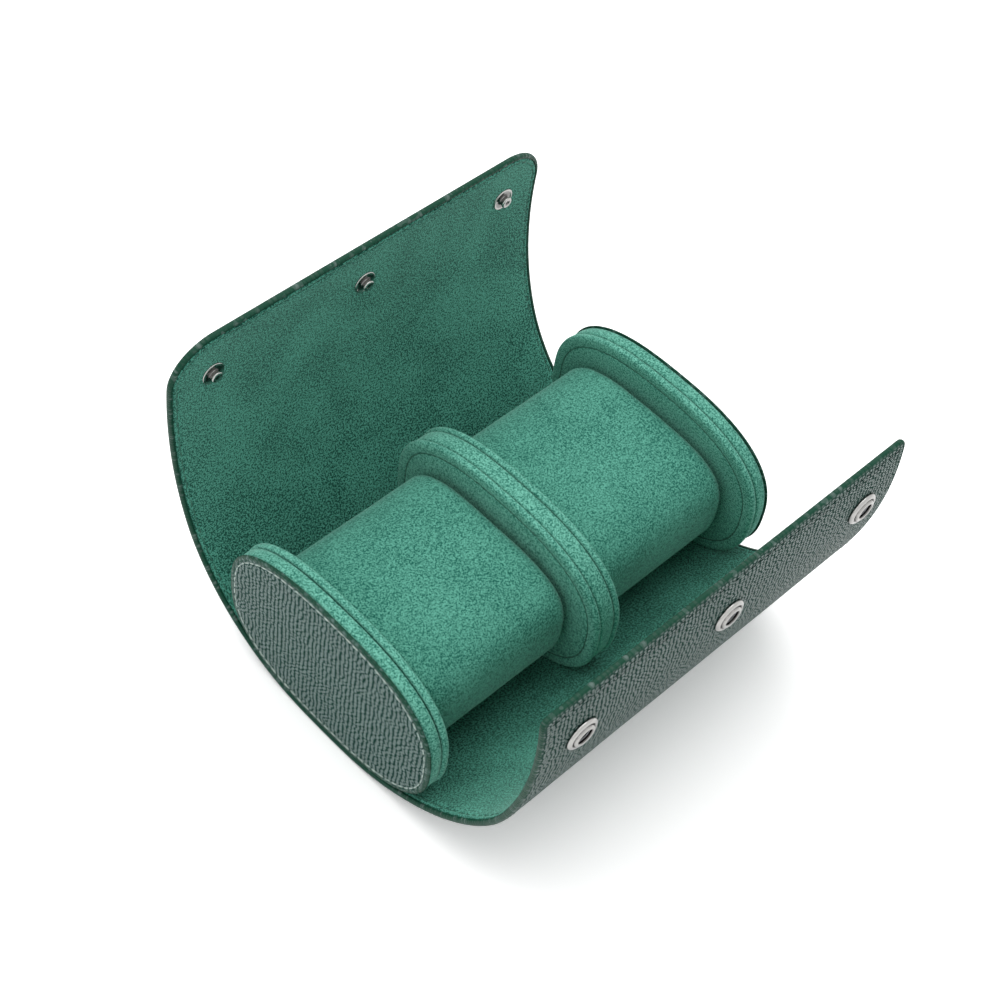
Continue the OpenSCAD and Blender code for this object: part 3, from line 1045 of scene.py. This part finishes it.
    def build(self) -> None:
        """Builds every piece of leather, lining and stitching, and ties the pieces without a fold to the
        case.
        """
        plans = (LEATHER_PLAN, LINING_PLAN)
        threads = (self.finishes.wrap_thread, self.finishes.suede_thread)
        for name, start, stop, flap, fold in self.spans():
            part, _, number = name.partition("_")
            long = abs(stop - start)
            sheets = [self.sheet(f"{name}_{plan.layer.value}_sheet", plan, start, stop, flap)
                      for plan in plans]
            rows = [self.stitches.sew(f"{name}_{plan.layer.value}_stitches",
                                      self.seam(start, stop, flap, plan.stitch_depth), thread)
                    for plan, thread in zip(plans, threads)]
            for plan, sheet, row in zip(plans, sheets, rows):
                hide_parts("_".join(filter(None, (part, plan.layer.value, number))))
            for piece in sheets + rows:
                self._tie(piece, fold)
            LOG.info("wrap %s: %.1f mm long, %d triangles", name, long / MM, sum(map(triangles, sheets)))

    def _tie(self, piece: bpy.types.Object, fold: Optional[Fold]) -> None:
        """Lets a piece ride on the case; a piece with a fold only has its place baked into its mesh.

        Args:
            piece: the piece.
            fold: its fold, or None.
        """
        if fold is None:
            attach(piece, "case")
            return
        near, far, run, reach = fold
        side = 1 if run > 0 else -1
        start = self.path.point(run - side * reach, 0.0)
        end = self.path.point(run + side * reach, 0.0)
        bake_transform(piece)


# ---- the oval pads ----


@dataclass
class OvalPad:
    """An end cap or the divider: closed forms swept round the oval."""

    oval: Oval
    finishes: Finishes
    stitches: StitchMaker
    count: int = 220
    # The faces' unevenness: its height and how far in it starts, in millimetres, and its width.
    cushion_swell: float = 0.18
    soft_from: float = 6.0
    soft_width: float = 22 * MM

    def form(self, name: str, profile: Sequence[tuple[float, float]], side: int, material: bpy.types.Material,
             slot: str, swell: float, rims: Sequence[float] = ()) -> bpy.types.Object:
        """Builds a closed form from its profile.

        Args:
            name: name of the piece.
            profile: (inset, x) in millimetres from the first face's middle to the second's.
            side: 1, or -1 to mirror it along the roll.
            material: its finish.
            slot: the record's slot.
            swell: height of the cushion's unevenness, in millimetres.
            rims: how far each ring takes its finish's rim, from 0 to 1: the leather's smooth dark edge, whose
                colour is partly painted reflection, or the suede's painted seam shade.

        Returns:
            The object.
        """
        shell = Shell(name)
        turns = self.oval.turns(self.count)
        rings = []
        for index, (inset, x) in enumerate(profile):
            ring = []
            rim = rims[index] if index < len(rims) else 0.0
            for turn in turns:
                y, z = self.oval.point(turn, inset * MM)
                uneven = inset > self.soft_from
                lift = swell * ripple(y, z + x * MM, self.soft_width, 1.0 + side) if uneven else 0.0
                inward = -1 if x > 0.5 * (profile[0][1] + profile[-1][1]) else 1
                place_x = side * (x + inward * abs(lift)) * MM
                ring.append(shell.add((place_x, y, z), (y, z, place_x), rim))
            rings.append(ring)
        shell.quads(rings, closed=True)
        middle = self.oval.centre_z
        for ring, x in ((rings[0], profile[0][1]), (rings[-1], profile[-1][1])):
            shell.fan(shell.add((side * x * MM, 0.0, middle), (0.0, middle, side * x * MM)), ring)
        return shell.build(material, slot)

    def seam(self, inset: float, x: float) -> list[Point]:
        """A closed path round the oval at an inset and an x, both in millimetres."""
        return [(x * MM, *self.oval.point(turn, inset * MM)) for turn in self.oval.turns(self.count)]


PIPING, SEAM = 1.7, 4.3  # insets of a pad's piping groove and of its stitched seam, in millimetres
DISC_STEPS, DISC_POWER = 12, 1.2


def discs(edge: float, x: float, full: float) -> list[tuple[float, float]]:
    """Rings of a flat face from near its middle out to an inset.

    Args:
        edge: the smallest inset, in millimetres.
        x: the face's place along the roll.
        full: the oval's smaller half size.

    Returns:
        (inset, x) pairs.
    """
    return [(edge + (full - edge) * (1 - k / DISC_STEPS) ** DISC_POWER, x) for k in range(1, DISC_STEPS)]


def painted_seam_shade(profile: Sequence[tuple[float, float]]) -> list[float]:
    """How much painted shade each ring of a pad gets for lying in its piping groove or its stitched seam,
    from 0 to 1.
    """
    return [{PIPING: 1.0, SEAM: 0.8}.get(inset, 0.0) for inset, _ in profile]


@dataclass
class EndCap(OvalPad):
    """One end cap: a leather plate on a suede pad, with lengths in millimetres."""

    label: str = "left"
    side: int = -1
    outer: float = 82.5
    thickness: float = 9.5
    plate_thickness: float = 1.35
    leather_swell: float = 0.12
    stitch_inset: float = 2.6

    def build(self) -> None:
        """Builds the cap's leather, pad and stitches."""
        done, out = self.finishes, self.outer
        full = self.oval.half_height / MM
        plate = discs(4.2, out - 0.05, full)
        # From just outside the stitches, the plate takes the dark edge colour, which is partly painted
        # reflection.
        rims = [0.0] * (len(plate) + 3) + [0.15, 0.45, 0.8] + [1.0] * 6
        plate += [(3.4, out - 0.1), (2.9, out - 0.26), (self.stitch_inset, out - 0.34), (2.3, out - 0.28),
                  (1.9, out - 0.18), (1.3, out - 0.2), (0.75, out - 0.32), (0.28, out - 0.6),
                  (0.06, out - 0.9), (0.1, out - 1.1), (0.4, out - 1.3), (1.2, out - self.plate_thickness)]
        plate += discs(4.2, out - self.plate_thickness, full)[::-1]
        leather = self.form(f"{self.label}_cap_leather", plate, self.side, done.cap, "leather",
                            self.leather_swell, rims)
        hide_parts(f"{self.label}_cap_face")
        back = out - self.thickness
        pad = discs(5.0, out - 1.4, full)
        pad += [(1.3, out - 1.4), (0.7, out - 1.65), (0.5, out - 2.6), (0.45, out - 4.8), (0.6, out - 5.9),
                (PIPING, out - 6.35), (PIPING, out - 6.5), (0.5, out - 6.75), (0.15, out - 7.2),
                (0.05, out - 8.0), (0.2, out - 8.8), (0.7, out - 9.3), (1.6, back), (3.2, back),
                (3.9, back + 0.15), (SEAM, back + 0.3), (4.7, back + 0.15), (5.4, back)]
        pad += discs(6.5, back, full)[::-1]
        cushion = self.form(f"{self.label}_cap_cushion", pad, self.side, done.pad, "suede",
                            self.cushion_swell, painted_seam_shade(pad))
        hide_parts(f"{self.label}_cap_suede")
        outer_row = self.stitches.sew(f"{self.label}_cap_leather_stitches",
                                      [self.seam(self.stitch_inset, self.side * (out - 0.28))],
                                      done.leather_thread, closed=True)
        inner_row = self.stitches.sew(f"{self.label}_cap_suede_stitches",
                                      [self.seam(SEAM, self.side * (back + 0.22))], done.suede_thread,
                                      closed=True)
        for piece in (leather, cushion, outer_row, inner_row):
            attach(piece, "case")
        LOG.info("%s end cap: %d triangles", self.label, triangles(leather) + triangles(cushion))


@dataclass
class Divider(OvalPad):
    """The suede-covered pad between the two bays."""

    half: float = 6.0

    def build(self) -> None:
        """Builds the divider and its stitches."""
        done, half = self.finishes, self.half
        full = self.oval.half_height / MM
        side = [(5.4, half), (4.7, half - 0.15), (SEAM, half - 0.3), (3.9, half - 0.15), (3.2, half),
                (1.6, half), (0.7, half - 0.2), (0.2, half - 0.7), (0.05, half - 1.4), (0.2, half - 2.1),
                (0.6, half - 2.45), (PIPING, half - 2.6), (PIPING, half - 2.8), (0.7, half - 3.05),
                (0.55, half - 3.8)]
        profile = discs(6.5, half, full) + side + [(0.5, 0.0)]
        profile += [(inset, -x) for inset, x in reversed(side)]
        profile += discs(6.5, -half, full)[::-1]
        pad = self.form("divider_cushion", profile, 1, done.pad, "suede", self.cushion_swell,
                        painted_seam_shade(profile))
        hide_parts("divider_suede")
        paths = [self.seam(SEAM, half - 0.22), self.seam(SEAM, 0.22 - half)]
        rows = self.stitches.sew("divider_stitches", paths, done.suede_thread, closed=True)
        for piece in (pad, rows):
            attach(piece, "case")
        LOG.info("divider: %d triangles", triangles(pad))


# ---- the pillows ----


@dataclass
class Pillows:
    """Two foam pillows in suede covers."""

    finishes: Finishes
    half_depth: float = 39.5 * MM
    half_height: float = 22.5 * MM
    power: float = 3.1
    shrink: float = 1.1 * MM
    rounding: float = 5 * MM
    travel: float = 1.4 * MM
    spare: float = 0.1 * MM
    frames: int = 20
    # Steps of the cover's mesh: round it, over its rounded edge and along it.
    around: int = 112
    edge_steps: int = 8
    length_steps: int = 26
    # The cover's unevenness: its depth, its width and the pattern of each pillow.
    crumple: float = 0.12 * MM
    crumple_width: float = 14 * MM
    seeds: tuple[tuple[str, float], ...] = (("left", 11.0), ("right", 17.0))

    def start_mesh(self, half_length: float) -> bpy.types.Mesh:
        """The pillow before it is blown up, about its own middle.

        Args:
            half_length: half its size along the roll.

        Returns:
            A closed mesh.
        """
        section = Oval(self.half_depth, self.half_height, 0.0, self.power)
        shell = Shell("pillow_start")
        turns = section.turns(self.around)
        squeeze = 1 - self.shrink / half_length
        r = self.rounding
        stops = [(half_length - r + r * math.sin(a), r * (1 - math.cos(a)))
                 for a in np.linspace(math.pi / 2, 0, self.edge_steps)]
        flat_end = [(stops[0][0], stops[0][1] + (self.half_height - r) * k / 8) for k in range(7, 0, -1)]
        middle = [(x, 0.0) for x in np.linspace(half_length - r, -half_length + r, self.length_steps)[1:-1]]
        line = flat_end + stops + middle + [(-x, i) for x, i in reversed(flat_end + stops)]
        rings = []
        for x, inset in line:
            ring = []
            for turn in turns:
                y, z = section.point(turn, inset + self.shrink)
                ring.append(shell.add((x * squeeze, y, z), (0, 0, 0)))
            rings.append(ring)
        shell.quads(rings, closed=True)
        for ring, x in ((rings[0], line[0][0]), (rings[-1], line[-1][0])):
            shell.fan(shell.add((x * squeeze, 0, 0), (0, 0, 0)), ring)
        piece = shell.build(self.finishes.pillow, "pillow_suede")
        mesh = piece.data
        bpy.data.objects.remove(piece)
        return mesh

    def blow_up(self, mesh: bpy.types.Mesh) -> np.ndarray:
        """Lets the cover swell like filled cloth.

        Args:
            mesh: the slack cover.

        Returns:
            Where each point ends, at most the travel from where it started.
        """
        start = np.array([v.co for v in mesh.vertices])
        piece = add_object("pillow_cloth", mesh)
        scene = bpy.context.scene
        cloth = piece.modifiers.new("cloth", "CLOTH")
        cloth.settings.effector_weights.gravity = 0
        for key, value in (("quality", 6), ("mass", 0.2), ("tension_stiffness", 25),
                           ("compression_stiffness", 25), ("bending_stiffness", 3), ("use_pressure", True),
                           ("uniform_pressure_force", 4)):
            setattr(cloth.settings, key, value)
        cloth.point_cache.frame_start = 1
        cloth.point_cache.frame_end = self.frames
        for step in range(1, self.frames + 1):
            scene.frame_set(step)
        blown = piece.evaluated_get(bpy.context.evaluated_depsgraph_get())
        end = np.array([v.co for v in blown.to_mesh().vertices])
        blown.to_mesh_clear()
        scene.frame_set(1)
        bpy.data.objects.remove(piece)
        move = end - start
        far = np.linalg.norm(move, axis=1, keepdims=True)
        return start + move * np.minimum(1, self.travel / np.maximum(far, 1e-9))

    def build(self) -> None:
        """Builds both pillows from one swollen cover."""
        for label, seed in self.seeds:
            low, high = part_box(f"{label}_pillow_cover")
            middle = (Vector(low) + Vector(high)) / 2
            half = (high[0] - low[0]) / 2
            mesh = self.start_mesh(half)
            places = self.blow_up(mesh)
            limit = np.array([half, self.half_depth, self.half_height]) - self.spare
            places = np.clip(places, -limit, limit)
            for vertex, place in zip(mesh.vertices, places):
                soft = self.crumple * ripple(place[0] + place[2], place[1], self.crumple_width, seed)
                inward = Vector(place).normalized() * -abs(soft)
                vertex.co = Vector(place) + inward + middle
            rest = mesh.attributes[REST]
            rest.data.foreach_set("vector", np.array([v.co for v in mesh.vertices], np.float32).ravel())
            piece = add_object(f"{label}_pillow_cushion", mesh)
            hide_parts(f"{label}_pillow_cover", f"{label}_pillow_foam")
            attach(piece, f"{label}_pillow")
            LOG.info("%s pillow: %d triangles", label, triangles(piece))


# ---- the metal and the hidden parts ----

STUD_RADIUS = 5 * MM


@dataclass
class Hardware:
    """The press studs, turned as smooth pieces, and the hidden parts, which keep their own meshes."""

    finishes: Finishes
    path: WrapPath
    pitch: float
    stud_edge: float = 19.6 * MM
    socket_edge: float = 20.6 * MM
    around: int = 48
    # Half sections as (radius, height over the flap's face, painted shade in grooves, mouths and at the
    # foot), the lengths in millimetres.
    stud: tuple[Point, ...] = (
        (4.2, -0.04, 0.8), (4.4, 0.06, 0.5), (4.45, 0.28, 0.1), (4.32, 0.48, 0.0), (4.05, 0.58, 0.0),
        (3.78, 0.5, 0.1), (3.5, 0.33, 0.5), (2.6, 0.26, 0.6), (2.15, 0.34, 0.9), (1.95, 0.6, 0.8),
        (1.82, 1.05, 0.4), (1.95, 1.5, 0.1), (2.13, 1.85, 0.0), (2.19, 2.15, 0.0), (2.1, 2.45, 0.0),
        (1.8, 2.62, 0.0), (1.35, 2.64, 0.1), (0.9, 2.5, 0.6), (0.5, 2.3, 0.9))
    socket: tuple[Point, ...] = (
        (5.9, 0.01, 0.8), (6.15, 0.1, 0.6), (6.24, 0.45, 0.15), (6.12, 0.86, 0.0), (5.82, 1.2, 0.0),
        (5.4, 1.42, 0.0), (5.05, 1.48, 0.0), (4.8, 1.4, 0.3), (4.68, 1.0, 0.9), (4.55, 0.8, 1.0),
        (4.4, 0.82, 1.0), (4.3, 1.1, 0.8), (4.2, 1.7, 0.2), (4.02, 1.98, 0.0), (3.75, 2.15, 0.0),
        (3.4, 2.18, 0.0), (3.08, 2.08, 0.2), (2.86, 1.85, 0.7), (2.81, 1.55, 1.0), (2.86, 1.36, 1.0),
        (3.0, 1.29, 1.0), (4.0, 1.25, 1.0), (4.1, 1.1, 1.0), (4.1, 0.16, 1.0), (4.0, 0.08, 1.0))

    def turn(self, name: str, section: Sequence[Point], flap: Flap, edge: float,
             side: int) -> bpy.types.Object:
        """Turns one snap for each place along the flap's edge.

        Args:
            name: name of the piece.
            section: its half section from its back to its front, with the painted shade at each point.
            flap: the flap it is clinched to.
            edge: its distance from the flap's free edge.
            side: 1 on the leather, -1 on the lining.

        Returns:
            The object, which rides on the flap's panel.
        """
        run = flap.side * (self.path.end(flap) - edge)
        half = self.path.thickness / 2
        seat = Vector((0.0, *self.path.point(run, side * half)))
        up = (Vector((0.0, *self.path.point(run, side * (half + MM)))) - seat).normalized()
        across, along = Vector((1.0, 0.0, 0.0)), up.cross(Vector((1.0, 0.0, 0.0)))
        shell = Shell(name)
        for place in (-1, 0, 1):
            centre = seat + Vector((place * self.pitch, 0.0, 0.0))
            rings = []
            for radius, height, painted_shade in section:
                ring = []
                for k in range(self.around):
                    angle = 2 * math.pi * k / self.around
                    spot = centre + up * height * MM
                    spot += (across * math.cos(angle) + along * math.sin(angle)) * radius * MM
                    ring.append(shell.add(spot, spot, painted_shade))
                rings.append(ring)
            shell.quads(rings, closed=True)
            # Both hubs take full painted shade, the dark middle of each snap.
            for ring, height in ((rings[0], section[0][1]), (rings[-1], section[-1][1])):
                hub = centre + up * height * MM
                shell.fan(shell.add(hub, hub, 1.0), ring)
        piece = shell.build(self.finishes.nickel, "nickel")
        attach(piece, f"{flap.name}_panel")
        LOG.info("%s: %d triangles", name, triangles(piece))
        return piece

    def build(self) -> None:
        """Turns the studs and sockets."""
        studs = self.turn("press_studs", self.stud, self.path.lid, self.stud_edge, -1)
        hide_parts("snap_studs")
        sockets = self.turn("press_sockets", self.socket, self.path.front, self.socket_edge, 1)
        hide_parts("snap_sockets")

    def dress(self) -> None:
        """Gives each kept node its finish."""
        done = self.finishes
        for name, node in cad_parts.items():
            if name in ("snap_springs", "snap_stud_plates", "snap_socket_plates"):
                material = done.steel
            elif "board" in name or "foam" in name:
                material = done.board
            else:
                continue
            if not node.material_slots:
                node.data.materials.append(material)
            for slot in node.material_slots:
                slot.material = material
            LOG.info("kept %s", name)


# ---- camera, floor and light ----


@dataclass(frozen=True)
class Studio:
    """A pale floor, soft light and the camera."""

    azimuth: float = math.radians(-51.85)
    elevation: float = math.radians(52.015)
    roll: float = math.radians(10.0)
    distance: float = 692.0 * MM
    lens: float = 72.0
    sensor: float = 36.0
    target: Point = millimetres(4.43, 9.33, 49.45)
    room: float = 0.76
    # The floor's half width, its own brightness, and what mirrors and the camera see on top of that.
    floor_half: float = 3.0
    paper: float = 0.86
    mirrored: float = 0.14
    seen: float = 0.6

    def camera(self) -> None:
        """Sets up the camera."""
        a, e = self.azimuth, self.elevation
        back = Vector((math.sin(a) * math.cos(e), -math.cos(a) * math.cos(e), math.sin(e)))
        right = Vector((math.cos(a), math.sin(a), 0))
        up = back.cross(right)
        c, s = math.cos(self.roll), math.sin(self.roll)
        right, up = c * right + s * up, c * up - s * right
        data = bpy.data.cameras.new("camera")
        data.lens = self.lens
        data.sensor_width = data.sensor_height = self.sensor
        data.clip_start, data.clip_end = 0.01, 50.0
        eye = add_object("camera", data)
        place = Vector(self.target) + self.distance * back
        turn = Matrix((right, up, back)).transposed().to_4x4()
        eye.matrix_world = Matrix.Translation(place) @ turn
        bpy.context.scene.camera = eye

    def world(self) -> None:
        """A white room that lights softly and shows white behind the case."""
        world = bpy.data.worlds.new("room")
        world.use_nodes = True
        tree = Tree(world.node_tree)
        sight = tree.add("ShaderNodeLightPath")
        seen = tree.math("MAXIMUM", sight.outputs["Is Camera Ray"], sight.outputs["Is Glossy Ray"])
        seen = tree.math("MAXIMUM", seen, sight.outputs["Is Transmission Ray"])
        strength = tree.math("MULTIPLY_ADD", seen, 1.0 - self.room, self.room)
        glow = tree.add("ShaderNodeBackground", {"Color": (1, 1, 1, 1), "Strength": strength})
        tree.add("ShaderNodeOutputWorld", {"Surface": glow.outputs[0]})
        bpy.context.scene.world = world

    def floor(self) -> None:
        """A floor that shows white and keeps the case's shadow."""
        mesh = bpy.data.meshes.new("floor")
        half = self.floor_half
        mesh.from_pydata([(-half, -half, 0), (half, -half, 0), (half, half, 0), (-half, half, 0)], [],
                         [(0, 1, 2, 3)])
        tree, shader, material = principled("floor_paper", {"Roughness": 1.0, "Specular IOR Level": 0.0})
        sight = tree.add("ShaderNodeLightPath")
        glossy = tree.math("MULTIPLY_ADD", sight.outputs["Is Glossy Ray"], self.mirrored, self.paper)
        tree.join(tree.math("MULTIPLY_ADD", sight.outputs["Is Camera Ray"], self.seen, glossy),
                  shader.inputs["Base Color"])
        mesh.materials.append(material)
        add_object("floor", mesh)

    def lamp(self, name: str, place: Point, size: float, power: float) -> None:
        """Adds a soft square lamp that faces the case.

        Args:
            name: the lamp's name.
            place: where it hangs, in metres.
            size: its side, in metres.
            power: in watts.
        """
        data = bpy.data.lights.new(name, "AREA")
        data.size = size
        data.energy = power
        here = Vector(place)
        turn = (here - Vector(self.target)).to_track_quat("Z", "Y").to_matrix().to_4x4()
        add_object(name, data).matrix_world = Matrix.Translation(here) @ turn

    def build(self) -> None:
        """Sets up camera, room, floor and lamps."""
        self.camera()
        self.world()
        self.floor()
        self.lamp("key", (0.15, 0.5, 1.65), 2.2, 22.0)
        self.lamp("side", (-1.3, -0.35, 0.8), 0.9, 1.0)
        bpy.context.scene.view_settings.view_transform = "Standard"


# ---- the whole ----


def main() -> None:
    """Builds the case's pieces in order and reports each."""
    logging.basicConfig(level=logging.INFO, format="%(name)s: %(message)s")
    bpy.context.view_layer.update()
    low, high = (Vector(corner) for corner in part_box("left_cap_face"))
    oval = Oval(high.y, (high.z - low.z) / 2, (high.z + low.z) / 2)
    half_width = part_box("base_leather")[1][0]
    lid = Flap("lid", side=1, lengths=millimetres(16, 20, 26, 30, 48.5),
               radii=millimetres(70, 70, 70, 122, 168), corner=18 * MM)
    front = Flap("front", side=-1, lengths=millimetres(16, 20, 20, 20, 62.5),
                 radii=millimetres(88, 88, 88, 64, 142), corner=3 * MM)
    path = WrapPath(oval, thickness=2.6 * MM, base_half=28 * MM, lid=lid, front=front)
    finishes = Finishes()
    stitches = StitchMaker()
    Studio().build()
    Wrap(path, half_width, finishes, stitches).build()
    for label, side in (("left", -1), ("right", 1)):
        EndCap(oval, finishes, stitches, label=label, side=side).build()
    Divider(oval, finishes, stitches).build()
    Pillows(finishes).build()
    low, high = (corner[0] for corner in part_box("snap_studs"))
    hardware = Hardware(finishes, path, (high - low) / 2 - STUD_RADIUS)
    hardware.build()
    hardware.dress()


if __name__ == "__main__":
    main()
